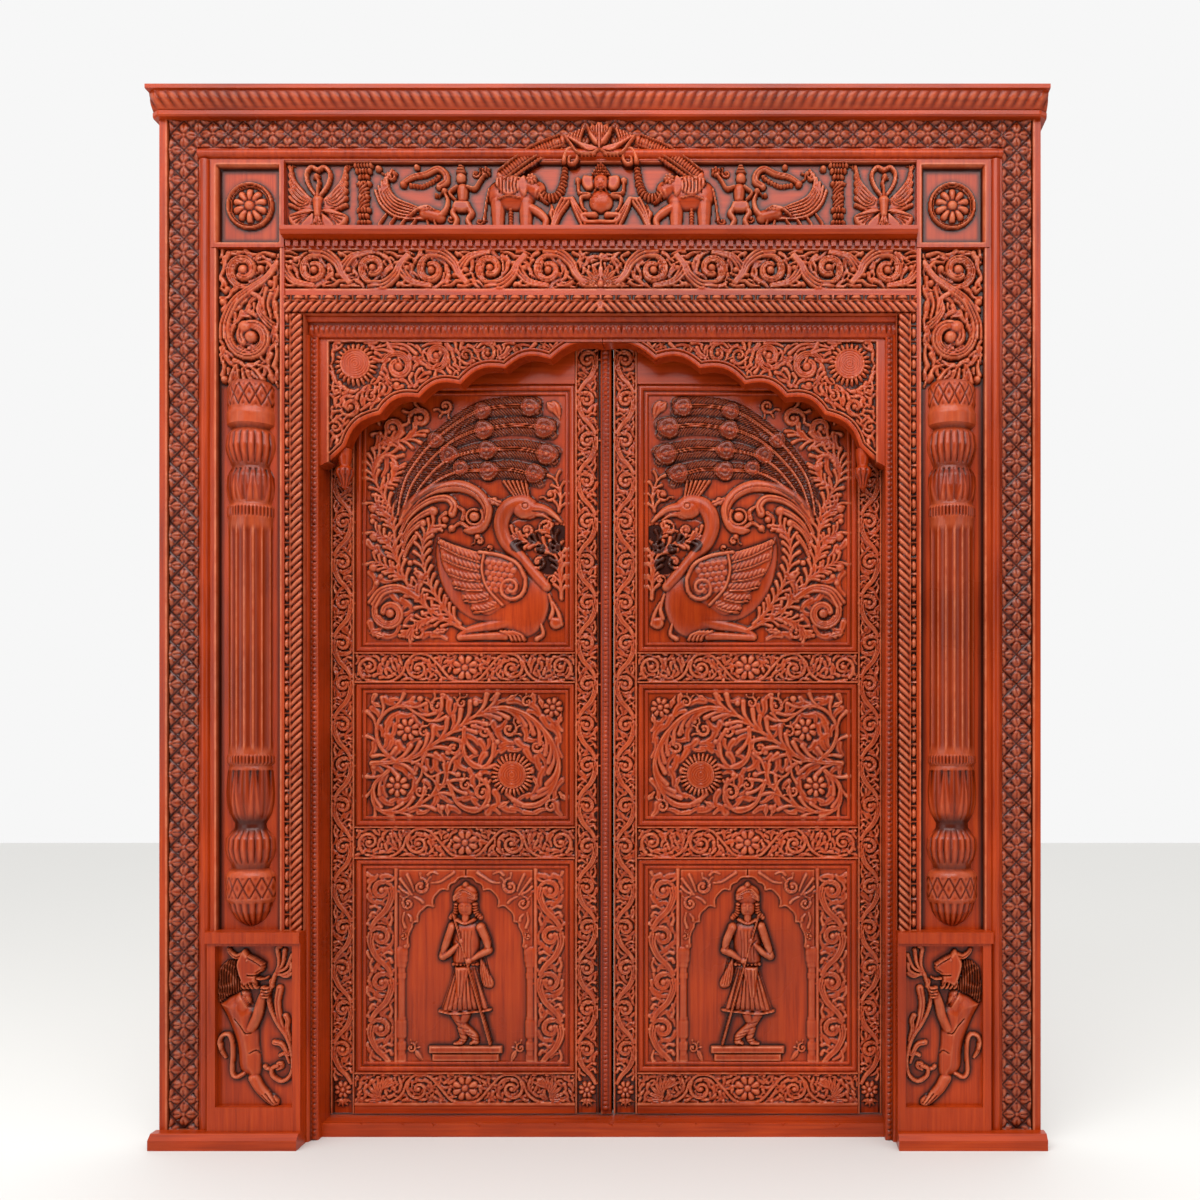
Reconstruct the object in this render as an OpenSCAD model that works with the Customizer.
/* [Opening] */
// Clear width between the jambs
opening_w = 1550; // [1500:10:1650]
// Clear height under the head
opening_h = 2195; // [2150:5:2260]
// Height of the threshold strip
threshold_h = 38; // [34:1:44]

/* [Surround] */
// Width of the band with the bead strip at each side
band_w = 27; // [24:1:34]
// Height of the band over the opening
band_h = 51; // [46:1:60]
// Width of the diagonal reed moulding
gadroon_w = 54; // [48:1:62]
// Width of the pilaster field
pilaster_w = 197; // [185:1:225]
// Width of the bead moulding inside the lattice
bead_w = 34; // [30:1:40]
// Width of the lattice boards at the sides
lattice_w = 103; // [96:1:116]
// Height of the lattice board over the frieze
lattice_h = 72; // [68:1:80]
// Height of the scroll lintel
lintel_h = 127; // [118:1:140]
// Height of the dentil ledge
ledge_h = 46; // [40:1:54]
// Height of the animal frieze
frieze_h = 190; // [180:1:210]
// Height of the cornice
cornice_h = 71; // [64:1:80]
// Overhang of the cornice at each side
cornice_over = 15; // [10:1:25]
// Height of the pedestal tops over the floor
pedestal_top = 578; // [540:2:610]
// Height of the skirting blocks
skirting_h = 41; // [36:1:48]

/* [Depths] */
// Thickness of the surround boards in front of the wall
board_t = 60; // [56:1:70]
// Projection of the cornice and the skirting before the boards
front_over = 45; // [42:1:55]
// Depth of the leaf faces behind the front of the boards
leaf_d = 120; // [116:1:130]
// Projection of the bolts behind the leaves
bolt_over = 22; // [20:1:26]
// Height of the relief carving over its ground
relief_h = 10; // [7:1:11]

/* [Leaves] */
// Thickness of a leaf
leaf_t = 45; // [42:1:50]
// Width of the stiles
stile_w = 70; // [66:1:80]
// Width of the bead around a panel
panel_bead_w = 30; // [26:1:34]
// Height of the bottom rail
bottom_rail_h = 114; // [105:1:125]
// Height of the guard panel between its rails
guard_h = 602; // [590:2:616]
// Height of the lower rail
lower_rail_h = 90; // [80:1:98]
// Height of the flower panel between its rails
flower_h = 405; // [396:1:414]
// Height of the upper rail
upper_rail_h = 85; // [78:1:94]
// Width of the strip that covers the meeting joint
astragal_w = 30; // [26:1:34]

/* [Hardware] */
// Radius of the hinge pins
pin_r = 3; // [2.5:0.1:3.5]
// Height of a hinge
hinge_h = 100; // [90:5:120]
// Radius of the bolt rods
bolt_r = 5; // [4.5:0.1:5.5]
// Radius of the wall anchor holes in the jambs
anchor_r = 5; // [4:0.5:6]

/* [Hidden] */
$fn = 48;
teak = "#A8482B";
dark_teak = "#7A3424";
red_teak = "#B04D2F";
brass = "#8C7440";
iron = "#3A3634";

half = opening_w / 2;
band_x = half + band_w;
gadroon_x = band_x + gadroon_w;
pilaster_x = gadroon_x + pilaster_w;
bead_x = pilaster_x + bead_w;
lattice_x = bead_x + lattice_w;
cornice_x = lattice_x + cornice_over;

band_z = opening_h + band_h;
gadroon_z = band_z + gadroon_w;
lintel_z = gadroon_z + lintel_h;
ledge_z = lintel_z + ledge_h;
frieze_z = ledge_z + frieze_h;
bead_z = frieze_z + bead_w;
lattice_z = bead_z + lattice_h;
cornice_z = lattice_z + cornice_h;

leaf_back = leaf_d + leaf_t;
y_mid = (leaf_back + bolt_over - front_over) / 2;
jamb_d = 48;
stop_gap = 2;
rebate = 14;
play = 4;
ground_d = 25;
panel_d = leaf_d + 16;
panel_t = 17;
embed = 1;

leaf_x = half + rebate - play;
leaf_z0 = threshold_h + 6;
leaf_z1 = opening_h + 20;
meet_gap = 5;
meet_x = astragal_w / 2;
inner_x = meet_x + meet_gap - 2 + stile_w;
outer_x = half + 2 - stile_w;
guard_z = leaf_z0 + bottom_rail_h;
lower_z = guard_z + guard_h;
flower_z = lower_z + lower_rail_h;
upper_z = flower_z + flower_h;
peacock_z = upper_z + upper_rail_h;
peacock_top = leaf_z1 - 120;
field_x0 = inner_x + panel_bead_w;
field_x1 = outer_x - panel_bead_w;
field_w = field_x1 - field_x0;
field_mid = (field_x0 + field_x1) / 2;

hinge_x = leaf_x + play / 2;
hinge_d = leaf_back + 7;
hinge_zs = [leaf_z0 + 220, (leaf_z0 + leaf_z1) / 2, leaf_z1 - 220];
knuckle_r = 6;
plate_t = 1.8;
pin_play = 0.05;
bolt_play = 0.4;
bolt_travel = 34;
socket_r = bolt_r + 2;
bolt_len = 240;
bolt_x = inner_x - 45;
anchor_zs = [opening_h * 0.25, opening_h * 0.75];
anchor_d = leaf_d + 20;

// A depth behind the front of the boards, as a place on the Y axis
function y(d) = d - y_mid;

// Box between two corners, with its depths counted from the front of the boards
module block(x0, x1, d0, d1, z0, z1) {
    translate([x0, y(d0), z0])
        cube([x1 - x0, d1 - d0, z1 - z0]);
}

// Everything is drawn on the left, and the right side is its mirror image
module sided(side) {
    mirror([side > 0 ? 1 : 0, 0, 0])
        children();
}

// Carving is drawn flat, x along the board and y up it, and stands up from the face
module on_face(x, d, z) {
    translate([x, y(d), z])
        rotate([90, 0, 0])
            children();
}

// Upright profile of (depth, height) points carried along the X axis
module moulding_x(x0, x1, profile) {
    translate([x0, 0, 0])
        rotate([90, 0, 90])
            linear_extrude(x1 - x0)
                polygon([for (p = profile) [y(p[0]), p[1]]]);
}

// Flat profile of (X, depth) points carried up the Z axis
module moulding_z(z0, z1, profile) {
    translate([0, 0, z0])
        linear_extrude(z1 - z0)
            polygon([for (p = profile) [p[0], y(p[1])]]);
}

// Points of an arc from a to b that bulges to the left of the way by sag
function arc(a, b, sag, n) =
    let (chord = norm(b - a), t = (b - a) / chord, s = [-t[1], t[0]])
    let (r = (chord * chord / 4 + sag * sag) / (2 * sag), half_turn = asin(chord / 2 / r))
    let (middle = (a + b) / 2 + s * (sag - r))
    [for (i = [0:n]) let (k = half_turn * (2 * i / n - 1)) middle + r * (s * cos(k) + t * sin(k))];

// Spiral from radius r0 to r1 that turns by the given angle
function spiral(c, r0, r1, start, turn, n) =
    [for (i = [0:n]) let (k = i / n, r = r0 + (r1 - r0) * k, a = start + turn * k)
        c + r * [cos(a), sin(a)]];

// Smooth curve with n steps through three guide points
function bow(a, b, c, n) =
    [for (i = [0:n]) let (k = i / n) (1 - k) * (1 - k) * a + 2 * k * (1 - k) * b + k * k * c];

// Sideways direction of a path at one of its points
function side_of(path, i) =
    let (t = path[min(i + 1, len(path) - 1)] - path[max(i - 1, 0)]) [-t[1], t[0]] / norm(t);

// Roof-shaped ridge along a path, which narrows from w0 to w1
module ridge(path, w0, w1, h) {
    last = len(path) - 1;
    points = [for (i = [0:last])
        let (s = side_of(path, i) * (w0 + (w1 - w0) * i / last) / 2)
        let (top = h * (0.6 + 0.4 * (w0 + (w1 - w0) * i / last) / max(w0, w1)), p = path[i])
        each [[p[0] + s[0], p[1] + s[1], -embed], [p[0], p[1], top], [p[0] - s[0], p[1] - s[1], -embed]]];
    walls = [for (i = [0:last - 1], k = [0:2])
        let (a = 3 * i + k, b = 3 * i + (k + 1) % 3)
        each [[a, a + 3, b + 3], [a, b + 3, b]]];
    polyhedron(points, concat([[0, 1, 2]], walls, [[3 * last + 2, 3 * last + 1, 3 * last]]));
}

// Convex solid around a list of points
module solid_of(points) {
    hull()
        polyhedron(points, [[for (i = [0:len(points) - 1]) i]]);
}

// Pointed leaf with a crest along its middle, from its foot in the given direction
module leaf(foot, angle, length, w, h) {
    translate([foot[0], foot[1], 0])
        rotate(angle)
            solid_of([[0, 0, -embed], [length * 0.45, w / 2, -embed], [length, 0, -embed],
                [length * 0.45, -w / 2, -embed], [length * 0.4, 0, h]]);
}

// Lump between two points with a six-sided foot at each end and a crest along the top
module lump(a, ra, b, rb, h) {
    ends = [[a, ra], [b, rb]];
    solid_of([for (e = ends)
        each concat([for (i = [0:5]) [e[0][0] + e[1] * cos(60 * i), e[0][1] + e[1] * sin(60 * i), -embed]],
            [for (i = [0:2])
                [e[0][0] + e[1] * 0.4 * cos(120 * i), e[0][1] + e[1] * 0.4 * sin(120 * i), h]])]);
}

// Round boss with a flat top
module boss(c, r, h) {
    solid_of(concat([for (i = [0:5]) [c[0] + r * cos(60 * i), c[1] + r * sin(60 * i), -embed]],
        [for (i = [0:2]) [c[0] + r * 0.5 * cos(120 * i), c[1] + r * 0.5 * sin(120 * i), h]]));
}

// Flower with petals around a boss
module flower(c, r, petals, h) {
    for (i = [0:petals - 1])
        leaf(c + r * 0.42 * [cos(360 * i / petals), sin(360 * i / petals)], 360 * i / petals, r * 0.6,
            1.1 * r * sin(180 / petals), h * 0.7);
    boss(c, r * 0.34, h);
}

// Scroll that curls in to an eye, with a leaf at its foot
module volute(c, r, start, turn, h) {
    ridge(spiral(c, r, r * 0.25, start, turn, ceil(abs(turn) / 75)), r * 0.5, r * 0.3, h);
    leaf(c + r * 1.36 * [cos(start), sin(start)], start - (turn > 0 ? 60 : -60), r * 0.7, r * 0.4, h * 0.8);
}

// Post with a stop in front and a rebate behind it for the leaf
module jamb(side) {
    color(teak) sided(side)
        difference() {
            block(-gadroon_x, -half, jamb_d, leaf_back, 0, opening_h);
            block(-half - rebate, -half + embed, leaf_d - stop_gap, leaf_back + embed,
                -embed, opening_h + embed);
            for (z = anchor_zs)
                translate([-gadroon_x - embed, y(anchor_d), z])
                    rotate([0, 90, 0])
                        cylinder(h = band_w + gadroon_w, r = anchor_r);
        }
}

// Cross timber that rests on both jambs, with the rebate that the leaves close into
module head() {
    color(teak)
        difference() {
            block(-gadroon_x, gadroon_x, jamb_d, leaf_back, opening_h, gadroon_z);
            block(-half - rebate, half + rebate, leaf_d - stop_gap, leaf_back + embed,
                opening_h - embed, leaf_z1 + play);
        }
}

// Square mortise that a bolt slides into
module bolt_socket(z0, z1) {
    middle = leaf_back + bolt_over / 2;
    block(-bolt_x - socket_r, -bolt_x + socket_r, middle - socket_r, middle + socket_r, z0, z1);
}

// Iron block on the back of the head that the top bolt slides into
module bolt_keeper() {
    color(iron)
        difference() {
            block(-bolt_x - 16, -bolt_x + 16, leaf_back, leaf_back + bolt_over, leaf_z1 + 8, leaf_z1 + 34);
            bolt_socket(leaf_z1, leaf_z1 + 60);
        }
}

// Sill strip; its worn front edge has chips along the top
module threshold() {
    chips = [-0.86, -0.71, -0.6, -0.44, -0.3, -0.17, 0.03, 0.2, 0.33, 0.52, 0.64, 0.83];
    color(red_teak) difference() {
        union() {
            block(-half, half, jamb_d + 12, leaf_d - stop_gap, 0, threshold_h);
            block(-half - rebate, half + rebate, leaf_d - stop_gap, leaf_back + bolt_over, 0, threshold_h);
        }
        for (i = [0:len(chips) - 1])
            translate([chips[i] * half, y(jamb_d + 12), threshold_h])
                rotate([0, 45 + 14 * (i % 3 - 1), 0])
                    cube([7 + 3 * (i % 4), 8, 7 + 3 * (i % 4)], center = true);
        bolt_socket(-embed, threshold_h + embed);
    }
}

// Raised diamonds with a boss on each and half diamonds at the edges, over a strip of length l and width w
module lattice(l, w) {
    cells = round(l / w);
    pitch = l / cells;
    groove = 4;
    rise = 10;
    across = pitch / 2 - groove;
    up = w / 2 - groove;
    for (i = [0:cells - 1])
        translate([(i + 0.5) * pitch, w / 2, -embed]) {
            linear_extrude(rise - 4)
                polygon([[-across, 0], [0, -up], [across, 0], [0, up]]);
            cylinder(h = rise, r = w * 0.16, $fn = 8);
        }
    for (i = [1:cells - 1], s = [0, 1])
        translate([i * pitch, s * w, -embed])
            linear_extrude(rise - 4)
                mirror([0, s, 0])
                    polygon([[3 - across, 3], [across - 3, 3], [0, up]]);
}

// Side border board: a plain edge and the lattice, from the floor to the cornice
module lattice_side(side) {
    edge = lattice_w * 0.24;
    color(dark_teak) sided(side) {
        block(-lattice_x, -bead_x, 10, board_t, 0, lattice_z);
        block(-lattice_x, -lattice_x + edge, 0, 10, 0, lattice_z);
        translate([-bead_x, y(10), 0])
            rotate([90, -90, 0])
                lattice(lattice_z, lattice_w - edge);
    }
}

module lattice_top() {
    color(dark_teak) {
        block(-bead_x, bead_x, 10, board_t, bead_z, lattice_z);
        on_face(-bead_x, 10, bead_z)
            lattice(2 * bead_x, lattice_h);
    }
}

// Top moulding: strip, cove with slanted gadroons that lean away from the middle, and fillet
module cornice() {
    strip = cornice_h * 0.18;
    fillet = cornice_h * 0.25;
    cove = cornice_h - strip - fillet;
    rows = 54;
    pitch = cornice_x / rows;
    color(teak) {
        moulding_x(-cornice_x, cornice_x, [[board_t, lattice_z], [-15, lattice_z],
            [-20, lattice_z + fillet], [2 - front_over, cornice_z - strip], [-front_over, cornice_z - strip],
            [-front_over, cornice_z], [board_t, cornice_z]]);
        for (s = [-1, 1], i = [1:rows - 2])
            on_face(s * i * pitch, 0, lattice_z + fillet)
                linear_extrude(front_over - 8)
                    polygon([[0, 0], [s * pitch * 0.6, 0], [s * pitch * 1.2, cove], [s * pitch * 0.6, cove]]);
    }
}

// Half round bead on a flat, mitred at the top corners
module border_bead() {
    middle = (pilaster_x + bead_x) / 2;
    color(red_teak) {
        for (s = [-1, 1])
            sided(s) {
                block(-bead_x, -pilaster_x, 8, board_t, 0, frieze_z);
                translate([-middle, y(8), skirting_h])
                    cylinder(h = frieze_z - skirting_h, r = bead_w * 0.36);
            }
        block(-bead_x, bead_x, 8, board_t, frieze_z, bead_z);
        translate([-bead_x, y(8), (frieze_z + bead_z) / 2])
            rotate([0, 90, 0])
                cylinder(h = 2 * bead_x, r = bead_w * 0.36);
    }
}

// Square block with a sunk field, a ring and an eight-petal rosette
module corner_block(side) {
    z0 = lintel_z;
    mid_x = -(gadroon_x + pilaster_x) / 2;
    mid_z = (z0 + frieze_z) / 2;
    rim = 16;
    r = pilaster_w * 0.33;
    color(red_teak) sided(side) {
        difference() {
            block(-pilaster_x, -gadroon_x, 5, board_t, z0, frieze_z);
            block(-pilaster_x + rim, -gadroon_x - rim, 5 - embed, ground_d, z0 + rim, frieze_z - rim);
        }
        on_face(mid_x, ground_d, mid_z) {
            difference() {
                cylinder(h = 12, r = r);
                translate([0, 0, 2])
                    cylinder(h = 12, r = r * 0.86);
            }
            for (i = [0:7])
                rotate(45 * i)
                    translate([r * 0.5, 0, 2])
                        scale(r * 0.23)
                            sphere(1);
            cylinder(h = 16, r = r * 0.24);
        }
    }
}

// Ledge with a row of dentils along its lower edge
module frieze_ledge() {
    count = 80;
    pitch = 2 * gadroon_x / count;
    color(dark_teak) {
        moulding_x(-gadroon_x, gadroon_x, [[board_t, lintel_z], [14, lintel_z],
            [14, lintel_z + ledge_h * 0.45], [-18, lintel_z + ledge_h * 0.55],
            [-24, ledge_z - 10], [-24, ledge_z], [board_t, ledge_z]]);
        for (i = [0:count - 1])
            block(-gadroon_x + (i + 0.2) * pitch, -gadroon_x + (i + 0.8) * pitch, 4, 15,
                lintel_z + 3, lintel_z + ledge_h * 0.42);
    }
}

// Diagonal reeds and an egg row along a strip of length l and width w
module gadroons(l, w) {
    count = round(l / 40);
    pitch = l / count;
    egg = w * 0.28;
    rise = 14;
    cube([l, w, 4]);
    for (i = [0:count - 1]) {
        translate([(i + 0.5) * pitch, w - egg, 0])
            cylinder(h = rise, r = pitch * 0.3);
        translate([(i + 0.5) * pitch, w * 0.34, 0])
            rotate([0, 0, 50])
                cube([w * 0.6, pitch * 0.42, 2 * rise - 4], center = true);
    }
}

module gadroon_side(side) {
    color(teak) sided(side) {
        block(-gadroon_x, -band_x, 14, jamb_d, pedestal_top, band_z);
        translate([-band_x, y(14), pedestal_top])
            rotate([90, -90, 0])
                gadroons(band_z - pedestal_top, gadroon_w);
    }
}

module gadroon_top() {
    color(teak) {
        block(-gadroon_x, gadroon_x, 14, jamb_d, band_z, gadroon_z);
        on_face(-gadroon_x, 14, band_z)
            gadroons(2 * gadroon_x, gadroon_w);
    }
}

// Band around the opening with a fine bead strip on its inner side
module bead_architrave() {
    strip = 19;
    color(red_teak) {
        for (s = [-1, 1])
            sided(s) {
                moulding_z(0, opening_h, [[-band_x, jamb_d], [-band_x, 20], [-half - strip, 26],
                    [-half - strip, 34], [-half, 38], [-half, jamb_d]]);
            }
        moulding_x(-band_x, band_x, [[jamb_d, opening_h], [38, opening_h], [32, opening_h + 26],
            [24, opening_h + 28], [20, band_z], [jamb_d, band_z]]);
    }
}

// Box under the column, open in front for the lion panel
module pedestal(side) {
    rim = 22;
    color(red_teak) sided(side)
        difference() {
            union() {
                block(-pilaster_x, -band_x, -18, jamb_d, skirting_h, pedestal_top);
                block(-pilaster_x, -gadroon_x, jamb_d, board_t, skirting_h, pedestal_top);
                block(-pilaster_x - 4, -band_x, -26, 8, pedestal_top - 30, pedestal_top);
            }
            block(-pilaster_x + rim, -band_x - rim, -40, 10, skirting_h + 66, pedestal_top - 38);
        }
}

module skirting(side) {
    color(red_teak) sided(side)
        moulding_x(-lattice_x - 8, -band_x, [[0, 0], [0, skirting_h], [-30, skirting_h],
            [-front_over, skirting_h - 14], [-front_over, 0]]);
    color(red_teak) sided(side)
        block(-pilaster_x, -band_x, 0, jamb_d, 0, skirting_h);
}

// Outline of the turned half column, as (radius, height) from its foot to its top
function column_line(r, h) = let (k = h / 546) [
    [0, 0], [r * 0.34, 0], [r * 0.66, 7 * k], [r * 0.86, 16 * k], [r * 0.95, 25 * k], [r * 1.03, 28 * k],
    [r * 1.03, 51 * k], [r * 0.97, 55 * k], [r * 0.8, 59 * k], [r * 0.84, 63 * k], [r * 1.04, 78 * k],
    [r * 1.01, 89 * k], [r * 0.72, 99 * k], [r * 0.7, 104 * k], [r * 0.9, 114 * k], [r, 134 * k],
    [r * 0.95, 156 * k], [r * 0.88, 162 * k], [r * 0.98, 164 * k], [r * 0.98, 171 * k], [r * 0.93, 173 * k],
    [r * 0.93, 409 * k], [r * 0.97, 411 * k], [r * 0.97, 420 * k], [r * 0.88, 424 * k], [r, 440 * k],
    [r * 0.97, 452 * k], [r * 0.8, 461 * k], [r * 0.84, 464 * k], [r * 1.03, 481 * k], [r * 0.97, 493 * k],
    [r * 0.8, 499 * k], [r * 0.98, 503 * k], [r, 514 * k], [r * 0.94, 519 * k], [r * 0.98, 523 * k],
    [r * 0.98, 540 * k], [r * 0.86, 546 * k], [0, 546 * k]];

// Turned half column on the pilaster board, with flutes cut in its shaft and pendant
module column(side) {
    r = pilaster_w * 0.38;
    z0 = pedestal_top + 8;
    h = (lintel_z - pedestal_top) * 0.8;
    k = h / 546;
    flutes = 9;
    color(teak) sided(side)
        difference() {
            translate([-(gadroon_x + pilaster_x) / 2, y(ground_d + 25), z0])
                difference() {
                    rotate_extrude()
                        polygon(column_line(r, h));
                    for (i = [0:flutes - 1])
                        rotate(-90 + 18 * (i - (flutes - 1) / 2))
                            translate([r * 0.985, 0, 183 * k])
                                cylinder(h = 216 * k, r = r * 0.115);
                }
            block(-lattice_x, 0, ground_d, leaf_back, 0, cornice_z);
        }
}

// Board behind the column, with two large scrolls over it
module pilaster_board(side) {
    mid_x = -(gadroon_x + pilaster_x) / 2;
    top = pedestal_top + 8 + (lintel_z - pedestal_top) * 0.8;
    room = lintel_z - top;
    rim = 12;
    r = min(room * 0.2, pilaster_w * 0.27);
    color(dark_teak) sided(side) {
        block(-pilaster_x, -gadroon_x, ground_d, board_t, pedestal_top, lintel_z);
        for (x = [-pilaster_x, -gadroon_x - rim])
            block(x, x + rim, 8, ground_d + embed, pedestal_top, lintel_z);
        on_face(mid_x, ground_d, top + room / 2) {
            volute([-r * 0.4, room * 0.22], r, -80, 420, 2 * relief_h);
            volute([r * 0.4, -room * 0.22], r, 100, 420, 2 * relief_h);
            for (i = [0:5])
                leaf([0, 0], 30 + 60 * i, r * 1.4, r * 0.5, 1.6 * relief_h);
            boss([0, 0], r * 0.3, 2 * relief_h);
            boss([-r * 0.4, room * 0.22], r * 0.3, 2 * relief_h);
            boss([r * 0.4, -room * 0.22], r * 0.3, 2 * relief_h);
        }
    }
}

// Rearing lion with a curled tail and a branch, on a board in the pedestal
module lion_panel(side) {
    rim = 22;
    w = gadroon_x + pilaster_w - band_x - 2 * rim;
    h = pedestal_top - 38 - skirting_h - 66;
    lift = 2.2 * relief_h;
    color(red_teak) sided(side) {
        block(-pilaster_x + rim, -band_x - rim, 2, 10, skirting_h + 66, pedestal_top - 38);
        on_face(-pilaster_x + rim + w / 2, 2, skirting_h + 66 + h / 2)
            scale([w / 207, h / 433, 1]) {
                lump([-12, -60], 44, [4, 40], 50, lift);
                lump([14, 82], 46, [30, 122], 40, lift);
                lump([52, 112], 22, [62, 108], 18, lift);
                lump([40, 40], 17, [74, 62], 12, lift);
                lump([36, 10], 16, [76, 6], 12, lift);
                lump([-22, -96], 32, [-8, -150], 18, lift);
                lump([16, -96], 26, [34, -150], 16, lift);
                lump([-8, -168], 12, [24, -176], 12, lift);
                lump([34, -166], 12, [62, -174], 12, lift);
                for (i = [0:4])
                    leaf([8 - 7 * i, 146 - 32 * i], 170 + 10 * i, 56, 32, lift * 0.9);
                ridge(concat(bow([-40, -90], [-92, -60], [-80, 20], 3),
                    spiral([-62, 40], 26, 7, 220, -460, 5)), 14, 9, lift);
                ridge(bow([88, -180], [60, -60], [90, 150], 4), 10, 8, lift);
                for (i = [0:2])
                    leaf([72 - 2 * i, -120 + 90 * i], 120, 44, 20, lift * 0.8);
            }
    }
}

// One lump-bodied elephant that walks towards +x, on a strip of height h
module elephant(h, lift) {
    lump([-h * 0.18, h * 0.46], h * 0.24, [h * 0.1, h * 0.5], h * 0.22, lift);
    lump([h * 0.3, h * 0.6], h * 0.16, [h * 0.34, h * 0.56], h * 0.13, lift);
    for (x = [-0.28, 0.16])
        lump([h * x, h * 0.3], h * 0.1, [h * x, h * 0.11], h * 0.08, lift);
    ridge(concat(bow(h * [0.42, 0.5], h * [0.62, 0.3], h * [0.66, 0.6], 2),
        [h * [0.72, 0.95]]), h * 0.14, h * 0.08, lift);
    leaf([h * 0.36, h * 0.66], -110, h * 0.32, h * 0.24, lift * 1.1);
    solid_of([[-h * 0.26, h * 0.7, 0], [h * 0.12, h * 0.72, 0], [h * 0.1, h * 0.3, 0],
        [-h * 0.24, h * 0.3, 0], [-h * 0.2, h * 0.66, lift], [h * 0.08, h * 0.66, lift],
        [h * 0.06, h * 0.32, lift * 0.8],
        [-h * 0.2, h * 0.32, lift * 0.8]]);
}

// Bird that faces +x with a scrolled tail behind it
module strutting_bird(h, lift) {
    lump([-h * 0.06, h * 0.34], h * 0.19, [h * 0.12, h * 0.46], h * 0.17, lift);
    ridge(bow(h * [0.16, 0.5], h * [0.3, 0.62], h * [0.2, 0.86], 2), h * 0.18, h * 0.12, lift);
    boss(h * [0.23, 0.88], h * 0.1, lift);
    leaf(h * [0.28, 0.88], -10, h * 0.18, h * 0.1, lift * 0.8);
    ridge(concat(bow(h * [-0.1, 0.3], h * [-0.5, 0.2], h * [-0.56, 0.5], 2),
        spiral(h * [-0.36, 0.62], h * 0.2, h * 0.06, 190, -380, 4)), h * 0.18, h * 0.1, lift);
}

// Bird seen from the front with both wings spread
module spread_bird(h, lift) {
    lump(h * [0, 0.36], h * 0.17, h * [0, 0.56], h * 0.13, lift);
    boss(h * [0, 0.76], h * 0.11, lift);
    for (s = [-1, 1], i = [0:2])
        leaf(h * [s * 0.12, 0.56], 90 - s * (50 + 36 * i), h * 0.42, h * 0.2, lift * 0.8);
    leaf(h * [0, 0.24], -90, h * 0.22, h * 0.24, lift * 0.8);
}

// Seated elephant-headed figure with four arms
module seated_figure(h, lift) {
    lump(h * [0, 0.32], h * 0.23, h * [0, 0.44], h * 0.19, lift);
    boss(h * [0, 0.72], h * 0.17, lift);
    lump(h * [0, 0.9], h * 0.1, h * [0, 0.97], h * 0.05, lift);
    for (s = [-1, 1]) {
        lump(h * [s * 0.1, 0.14], h * 0.11, h * [s * 0.34, 0.12], h * 0.09, lift);
        lump(h * [s * 0.2, 0.52], h * 0.07, h * [s * 0.36, 0.36], h * 0.06, lift);
        leaf(h * [s * 0.12, 0.74], 90 - s * 100, h * 0.24, h * 0.22, lift * 0.8);
    }
    ridge(bow(h * [0, 0.7], h * [0.02, 0.44], h * [-0.14, 0.4], 3), h * 0.13, h * 0.07, lift * 1.2);
}

// Animal frieze, mirrored about the seated figure
module frieze_board() {
    h = frieze_h - 4;
    lift = 2.4 * relief_h;
    color(teak) {
        block(-gadroon_x, gadroon_x, ground_d, board_t, ledge_z, frieze_z);
        on_face(0, ground_d, ledge_z) {
            seated_figure(h, lift);
            for (s = [0, 1])
                mirror([s, 0, 0]) {
                    translate([-0.29 * gadroon_x, 0])
                        elephant(h * 0.86, lift);
                    translate([-0.55 * gadroon_x, 0])
                        strutting_bird(h * 0.92, lift);
                    translate([-0.87 * gadroon_x, 0])
                        spread_bird(h, lift);
                    lump([-0.725 * gadroon_x, 24], 20, [-0.725 * gadroon_x, h * 0.86], 14, lift);
                    lump([-0.445 * gadroon_x, 14], 13, [-0.445 * gadroon_x, h * 0.6], 15, lift);
                    lump([-0.1 * gadroon_x, h * 0.2], h * 0.1, [-0.1 * gadroon_x, h * 0.36], h * 0.07, lift);
                }
        }
    }
}

// Lotus crest in front of the lattice over the middle of the frieze
module frieze_crest() {
    h = lattice_h + bead_w + 4;
    stand = 5;
    color(red_teak) {
        block(-h * 0.3, h * 0.3, -stand, 0, bead_z + 8, lattice_z - 8);
        on_face(0, -stand, frieze_z - 4) {
            difference() {
                union() {
                    translate([0, h * 0.5, 0])
                        cylinder(h = 14, r = h * 0.42);
                    for (s = [-1, 1])
                        translate([s * h * 0.62, h * 0.34, 0])
                            cylinder(h = 10, r = h * 0.26);
                }
                translate([0, h * 0.5, 8])
                    cylinder(h = 10, r = h * 0.3);
            }
            translate([0, h * 0.5, 0])
                cylinder(h = 16, r = h * 0.14);
        }
    }
}

// Scroll board with a palmette in the middle and mirrored volutes
module vine_lintel() {
    scrolls = 5;
    pitch = gadroon_x / (scrolls + 0.4);
    r = lintel_h * 0.23;
    lift = 2 * relief_h;
    color(teak) {
        block(-gadroon_x, gadroon_x, ground_d, board_t, gadroon_z, lintel_z);
        block(-gadroon_x, gadroon_x, 12, ground_d, gadroon_z, gadroon_z + 18);
        on_face(0, ground_d, gadroon_z + 18 + (lintel_h - 18) / 2) {
            for (i = [0:6])
                leaf([0, -r * 1.3], 30 + 20 * i, r * 2.4, r * 0.6, lift);
            boss([0, -r * 1.3], r * 0.28, lift);
            for (m = [0, 1], i = [1:scrolls])
                mirror([m, 0, 0]) {
                    up = i % 2 == 0 ? 1 : -1;
                    translate([i * pitch, 0, 0]) {
                        volute([0, 0], r, 60 * up, -440 * up, lift);
                        leaf([-pitch * 0.5, -up * r * 0.4], up * 20, r, r * 0.5, lift * 0.8);
                    }
                }
        }
    }
}

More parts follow.
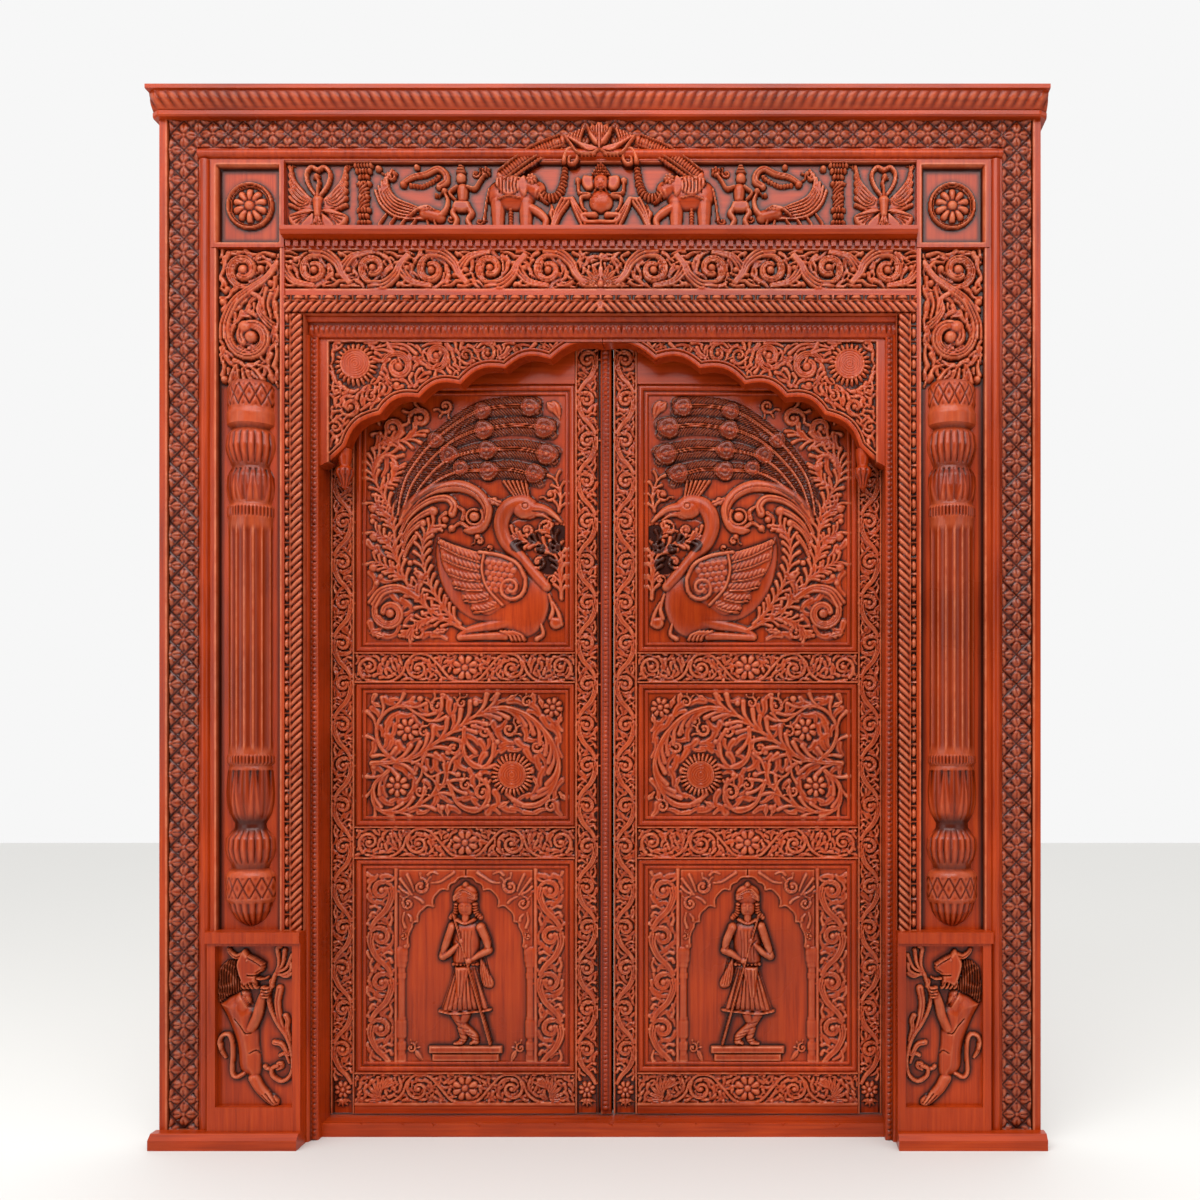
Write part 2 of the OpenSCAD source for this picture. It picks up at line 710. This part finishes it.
// Cusped arch half in the reveal: frame strip, lobes between cusps, sunflower and pendant bud
module arch(side) {
    fall = opening_h * 0.153;
    slit = 1;
    strip = 26;
    cusps = [[0, 0.04], [0.183, 0.167], [0.343, 0.241], [0.502, 0.372], [0.648, 0.479], [0.786, 0.616],
        [0.91, 0.878]];
    spots = [for (c = cusps) [-slit - c[0] * half, opening_h - c[1] * fall]];
    lobes = [for (i = [0:len(spots) - 2], k = [0:3]) arc(spots[i], spots[i + 1], -22, 4)[k]];
    line = concat([[-half, opening_h], [-slit, opening_h]], lobes,
        [spots[len(spots) - 1], [-half + strip, opening_h - fall], [-half, opening_h - fall - 14]]);
    flower_at = [-half * 0.875, opening_h - fall * 0.22];
    r = fall * 0.16;
    back = leaf_d - 20;
    front = back - 44;
    color(teak) sided(side) {
        translate([0, y(back), 0])
            rotate([90, 0, 0])
                linear_extrude(back - front)
                    polygon(line);
        block(-half, -half + strip - 2, front - 10, front + 14, opening_h - fall + 8, opening_h);
        block(-half, -slit, front - 10, front + 14, opening_h - 9, opening_h);
        translate([-half * 0.925, y(front + 20), opening_h - fall - 74])
            rotate(10)
                rotate_extrude($fn = 8)
                    polygon([[0, 0], [9, 8], [15, 30], [24, 44], [24, 56], [14, 66], [19, 92], [19, 113],
                        [0, 113]]);
        on_face(0, front, 0) {
            flower(flower_at, r * 0.9, 8, 1.3 * relief_h);
            for (k = [0.42, 0.62])
                volute([-half * (k + 0.05), opening_h - fall * (0.065 + 0.27 * k * k)],
                    fall * (0.042 + 0.09 * k * k), 20, 400, relief_h);
            for (i = [1:len(spots) - 2])
                leaf(spots[i] + [0, fall * 0.036], 105, fall * (0.06 + 0.024 * i), fall * (0.042 + 0.009 * i),
                    relief_h);
            volute([-half * 0.79, opening_h - fall * 0.328], fall * 0.095, -60, 400, relief_h);
            volute([-half * 0.885, opening_h - fall * 0.566], fall * 0.1, 60, -420, relief_h);
            leaf([-half * 0.9, opening_h - fall * 0.7], -80, fall * 0.18, fall * 0.1, relief_h);
        }
    }
}

// Vine along a strip of length l and width w: a waving stem with a leaf in each turn
module vine(l, w, pitch) {
    count = round(l / pitch);
    step = l / count;
    sway = w * 0.24;
    ridge([for (i = [0:2 * count]) [i * step / 2, sway * sin(90 * i)]], w * 0.16, w * 0.16, relief_h * 0.8);
    for (i = [0:count - 1]) {
        up = i % 2 == 0 ? 1 : -1;
        leaf([(i + 0.36) * step, up * sway * 0.2], -up * 30, w * 0.62, w * 0.26, relief_h * 0.8);
    }
}

// Flower in the middle of a strip, with volutes to both sides
module flower_band(l, w) {
    scrolls = 2;
    pitch = l * 0.38 / scrolls;
    flower([0, 0], w * 0.34, 6, relief_h * 0.8);
    for (m = [0, 1], i = [1:scrolls])
        mirror([m, 0, 0]) {
            up = i % 2 == 0 ? 1 : -1;
            volute([i * pitch, up * w * 0.06], w * 0.3, up * 160, up * 400, relief_h * 0.8);
        }
}

// Upright timber of a leaf: sunk field between two rims, with a vine
module stile(x0, x1, vine_x) {
    rim = 5;
    sunk = relief_h - 1;
    block(x0, x1, leaf_d + sunk, leaf_back, leaf_z0, leaf_z1);
    for (x = [x0, vine_x - stile_w / 2 + 2, vine_x + stile_w / 2 - rim - 2])
        block(x, x + rim, leaf_d, leaf_d + sunk + embed, leaf_z0, leaf_z1);
    on_face(vine_x, leaf_d + sunk, leaf_z0 + 20)
        rotate(90)
            vine(leaf_z1 - leaf_z0 - 40, stile_w - 2 * rim, 175);
}

module hinge_stile(side) {
    color(teak) sided(side)
        stile(-leaf_x, -outer_x, -outer_x - stile_w / 2);
}

// The left meeting stile is the wider one, because the cover strip is fixed to it
module meeting_stile(side) {
    edge = side < 0 ? meet_x : -meet_x - meet_gap;
    color(teak) sided(side) {
        stile(-inner_x, edge, -inner_x + stile_w / 2);
        if (side < 0)
            block(-meet_x, meet_x, leaf_d, leaf_back, leaf_z0, leaf_z1);
    }
}

// Cross timber of a leaf between the stiles, carved or plain
module rail(side, z0, z1, carved) {
    rim = 5;
    sunk = relief_h - 1;
    color(teak) sided(side) {
        block(-outer_x, -inner_x, carved ? leaf_d + sunk : leaf_d, leaf_back, z0, z1);
        if (carved) {
            for (z = [z0, z1 - rim])
                block(-outer_x, -inner_x, leaf_d, leaf_d + sunk + embed, z, z + rim);
            on_face(-field_mid, leaf_d + sunk, (z0 + z1) / 2)
                flower_band(outer_x - inner_x, z1 - z0 - 2 * rim);
        }
    }
}

module bottom_rail(side) {
    plain = 26;
    rail(side, leaf_z0 + plain, guard_z, true);
    color(red_teak) sided(side)
        block(-outer_x, -inner_x, leaf_d + 2, leaf_back, leaf_z0, leaf_z0 + plain);
}

// Thin board between the rails
module panel(side, z0, z1) {
    color(red_teak) sided(side) {
        block(-outer_x, -inner_x, panel_d, panel_d + panel_t, z0, z1);
        on_face(-field_mid, panel_d, (z0 + z1) / 2)
            children();
    }
}

// Peacock that faces the meeting stile, with its train fanned over its back
module peacock_panel(side) {
    h = peacock_top - peacock_z - 2 * panel_bead_w;
    lift = 1.2 * relief_h;
    panel(side, peacock_z, peacock_top)
        scale([field_w / 560, h / 695, 1]) {
            lump([128, -170], 88, [176, -230], 70, lift);
            ridge(concat(bow([190, -170], [120, -70], [70, -30], 3), bow([70, -30], [80, 60], [160, 42], 3)),
                70, 44, lift);
            boss([172, 38], 34, lift);
            leaf([196, 36], -20, 66, 26, lift * 0.8);
            for (i = [-1, 1])
                leaf([166, 60], 80 + 14 * i, 62, 18, lift * 0.8);
            volute([120, -192], 52, 60, 500, lift);
            for (i = [0:2])
                ridge(bow([50 - 8 * i, -240 + 34 * i], [-10, -200 + 40 * i],
                    [-84 + 18 * i, -120 + 62 * i], 3), 28, 16, lift * 0.9);
            for (i = [0:3])
                ridge(bow([-176 + 26 * i, 130 - 40 * i], [-140 + 40 * i, 330 - 66 * i],
                    [262, 296 - 70 * i], 4), 36, 42, lift * 0.7);
            for (i = [0:1], k = [0:1])
                boss([214 - 150 * k - 10 * i, 290 - 140 * i - 6 * k], 16, lift);
            ridge(concat(bow([-170, 50], [-60, 140], [20, 40], 3), spiral([-30, 10], 48, 14, 40, -430, 5)),
                28, 18, lift);
            lump([60, -300], 16, [100, -324], 14, lift);
            ridge(bow([-250, -330], [-170, -60], [-254, 320], 4), 18, 12, lift * 0.8);
            for (i = [0:1])
                volute([-208, -240 + 130 * i], 34, 200, i % 2 == 0 ? 400 : -400, lift * 0.8);
            volute([-110, -286], 36, 20, 400, lift * 0.8);
        }
}

// Sunflower and daisies on a diagonal stem with large leaves
module flower_panel(side) {
    h = flower_h - 2 * panel_bead_w;
    lift = 1.2 * relief_h;
    panel(side, flower_z, upper_z)
        scale([field_w / 560, h / 345, 1]) {
            flower([131, -60], 60, 10, lift);
            flower([-166, 62], 42, 6, lift);
            flower([-194, -80], 38, 6, lift);
            ridge(bow([-262, -150], [-40, -40], [240, 150], 4), 26, 16, lift);
            for (i = [0:4])
                leaf([-200 + 84 * i, -104 + 50 * i], 120 + 10 * i, 96, 42, lift * 0.8);
            for (i = [0:3])
                leaf([-130 + 84 * i, -84 + 40 * i], -44 - 8 * i, 92, 38, lift * 0.8);
            volute([30, 100], 44, 20, 420, lift);
            volute([-60, -110], 40, 200, 420, lift);
        }
}

// Turbaned guard with a staff in a cusped niche between slender columns and vine strips
module guard_panel(side) {
    h = guard_h - 2 * panel_bead_w;
    lift = 1.3 * relief_h;
    panel(side, guard_z, lower_z)
        scale([field_w / 560, h / 540, 1]) {
            for (s = [-1, 1]) {
                translate([s * 243, -262, 0])
                    rotate(90)
                        vine(524, 60, 175);
                ridge([[s * 176, -250], [s * 176, 36]], 22, 20, lift);
                lump([s * 176, 0], 20, [s * 176, 24], 26, lift);
                ridge(concat(arc([0, 240], [s * 80, 176], -s * 16, 3),
                    arc([s * 80, 176], [s * 150, 60], -s * 20, 3)), 20, 18, lift * 0.8);
                leaf([s * 100, 170], 90 - s * 40, 90, 44, lift * 0.8);
                lump([s * 22, -66], 30, [s * 34, -180], 40, lift);
                lump([s * 48, 82], 19, [s * 66, 20], 16, lift);
            }
            solid_of([[-92, -264, 0], [92, -264, 0], [92, -232, 0], [-92, -232, 0], [-84, -260, lift],
                [84, -260, lift], [84, -236, lift], [-84, -236, lift]]);
            lump([0, 60], 50, [0, -40], 42, lift);
            lump([0, 128], 32, [0, 142], 30, lift);
            lump([0, 170], 38, [0, 186], 22, lift);
            ridge([[74, -224], [66, 190]], 12, 12, lift);
            leaf([66, 186], 90, 40, 24, lift * 0.8);
        }
}

// Mitred mouldings around the three fields of a leaf
module panel_beads(side) {
    fields = [[guard_z, lower_z], [flower_z, upper_z], [peacock_z, peacock_top]];
    step = panel_bead_w * 0.55;
    color(red_teak) sided(side)
        for (f = fields) {
            difference() {
                block(-outer_x, -inner_x, leaf_d + 4, panel_d, f[0], f[1]);
                block(-outer_x + step, -inner_x - step, 0, leaf_back, f[0] + step, f[1] - step);
            }
            difference() {
                block(-outer_x + step, -inner_x - step, leaf_d + 9, panel_d, f[0] + step, f[1] - step);
                block(-field_x1, -field_x0, 0, leaf_back, f[0] + panel_bead_w, f[1] - panel_bead_w);
            }
        }
}

// Half round cover strip over the meeting joint
module astragal() {
    color(red_teak)
        moulding_z(leaf_z0 + 12, opening_h - play, [[-meet_x, leaf_d], [-meet_x, leaf_d - 5],
            [-meet_x * 0.5, leaf_d - 13], [meet_x * 0.5, leaf_d - 13], [meet_x, leaf_d - 5],
            [meet_x, leaf_d]]);
}

// One flap of a butt hinge with its share of the knuckles, of which there are five
module hinge_flap(x0, x1, first) {
    part = hinge_h / 5;
    gap = 0.5;
    for (z = hinge_zs)
        translate([0, 0, z - hinge_h / 2])
            difference() {
                union() {
                    block(x0, x1, leaf_d + 10, leaf_back, 0, hinge_h);
                    for (k = [first:2:4]) {
                        block(x0, x1, leaf_back - embed, hinge_d,
                            k * part + gap / 2, (k + 1) * part - gap / 2);
                        translate([-hinge_x, y(hinge_d), k * part + gap / 2])
                            cylinder(h = part - gap, r = knuckle_r);
                    }
                }
                translate([-hinge_x, y(hinge_d), -embed])
                    cylinder(h = hinge_h + 2 * embed, r = pin_r + pin_play);
            }
}

module hinge_frame_plates() {
    color(brass)
        for (s = [-1, 1])
            sided(s)
                hinge_flap(-leaf_x - play, -leaf_x - play + plate_t, 0);
}

module hinge_leaf_plates(side) {
    color(brass) sided(side)
        hinge_flap(-leaf_x - plate_t, -leaf_x, 1);
}

// Loose pins whose heads rest on the upper knuckles
module hinge_pins() {
    color(brass)
        for (s = [-1, 1], z = hinge_zs)
            sided(s)
                translate([-hinge_x, y(hinge_d), z - hinge_h / 2]) {
                    cylinder(h = hinge_h, r = pin_r);
                    translate([0, 0, hinge_h - 0.25])
                        cylinder(h = 4, r = knuckle_r);
                }
}

// Two guide loops on a plate, from the end of the leaf inwards
module bolt_guides(z, up) {
    difference() {
        union() {
            block(-bolt_x - 16, -bolt_x + 16, leaf_back, leaf_back + 3,
                min(z, z - up * bolt_len), max(z, z - up * bolt_len));
            for (k = [14, bolt_len - 34])
                block(-bolt_x - 14, -bolt_x + 14, leaf_back, leaf_back + bolt_over,
                    min(z - up * k, z - up * (k + 20)), max(z - up * k, z - up * (k + 20)));
        }
        translate([-bolt_x, y(leaf_back + bolt_over / 2), z - bolt_len - embed])
            cylinder(h = 2 * bolt_len + 2 * embed, r = bolt_r + bolt_play);
    }
}

module bolt_barrels() {
    color(iron) {
        bolt_guides(leaf_z1 - 4, 1);
        bolt_guides(leaf_z0 + 4, -1);
    }
}

// Rod with a knob between the guide loops
module bolt_rod(z, up) {
    color(iron)
        translate([-bolt_x, y(leaf_back + bolt_over / 2), z]) {
            translate([0, 0, up > 0 ? -bolt_len : 0])
                cylinder(h = bolt_len, r = bolt_r);
            translate([0, 0, -up * bolt_len * 0.62])
                rotate([-90, 0, 0])
                    cylinder(h = bolt_over / 2, r = bolt_r * 1.1);
        }
}

module top_bolt() {
    bolt_rod(leaf_z1 - 2, 1);
}

module bottom_bolt() {
    bolt_rod(leaf_z0 + 2, -1);
}

jamb(-1);  // left_jamb
jamb(1);  // right_jamb
head();
threshold();
lattice_side(-1);  // lattice_left
lattice_side(1);  // lattice_right
lattice_top();
cornice();
border_bead();
corner_block(-1);  // corner_block_left
corner_block(1);  // corner_block_right
frieze_board();
frieze_crest();
frieze_ledge();
vine_lintel();
gadroon_side(-1);  // gadroon_left
gadroon_side(1);  // gadroon_right
gadroon_top();
bead_architrave();
pilaster_board(-1);  // pilaster_board_left
pilaster_board(1);  // pilaster_board_right
column(-1);  // column_left
column(1);  // column_right
pedestal(-1);  // pedestal_left
pedestal(1);  // pedestal_right
lion_panel(-1);  // lion_panel_left
lion_panel(1);  // lion_panel_right
skirting(-1);  // skirting_left
skirting(1);  // skirting_right
arch(-1);  // arch_left
arch(1);  // arch_right
hinge_frame_plates();
hinge_pins();
bolt_keeper();
hinge_stile(-1);  // hinge_stile_left
meeting_stile(-1);  // meeting_stile_left
rail(-1, peacock_top, leaf_z1, false);  // top_rail_left
rail(-1, upper_z, peacock_z, true);  // upper_rail_left
rail(-1, lower_z, flower_z, true);  // lower_rail_left
bottom_rail(-1);  // bottom_rail_left
peacock_panel(-1);  // peacock_panel_left
flower_panel(-1);  // flower_panel_left
guard_panel(-1);  // guard_panel_left
panel_beads(-1);  // panel_beads_left
hinge_leaf_plates(-1);  // hinge_leaf_plates_left
astragal();
bolt_barrels();
top_bolt();
bottom_bolt();
hinge_stile(1);  // hinge_stile_right
meeting_stile(1);  // meeting_stile_right
rail(1, peacock_top, leaf_z1, false);  // top_rail_right
rail(1, upper_z, peacock_z, true);  // upper_rail_right
rail(1, lower_z, flower_z, true);  // lower_rail_right
bottom_rail(1);  // bottom_rail_right
peacock_panel(1);  // peacock_panel_right
flower_panel(1);  // flower_panel_right
guard_panel(1);  // guard_panel_right
panel_beads(1);  // panel_beads_right
hinge_leaf_plates(1);  // hinge_leaf_plates_right
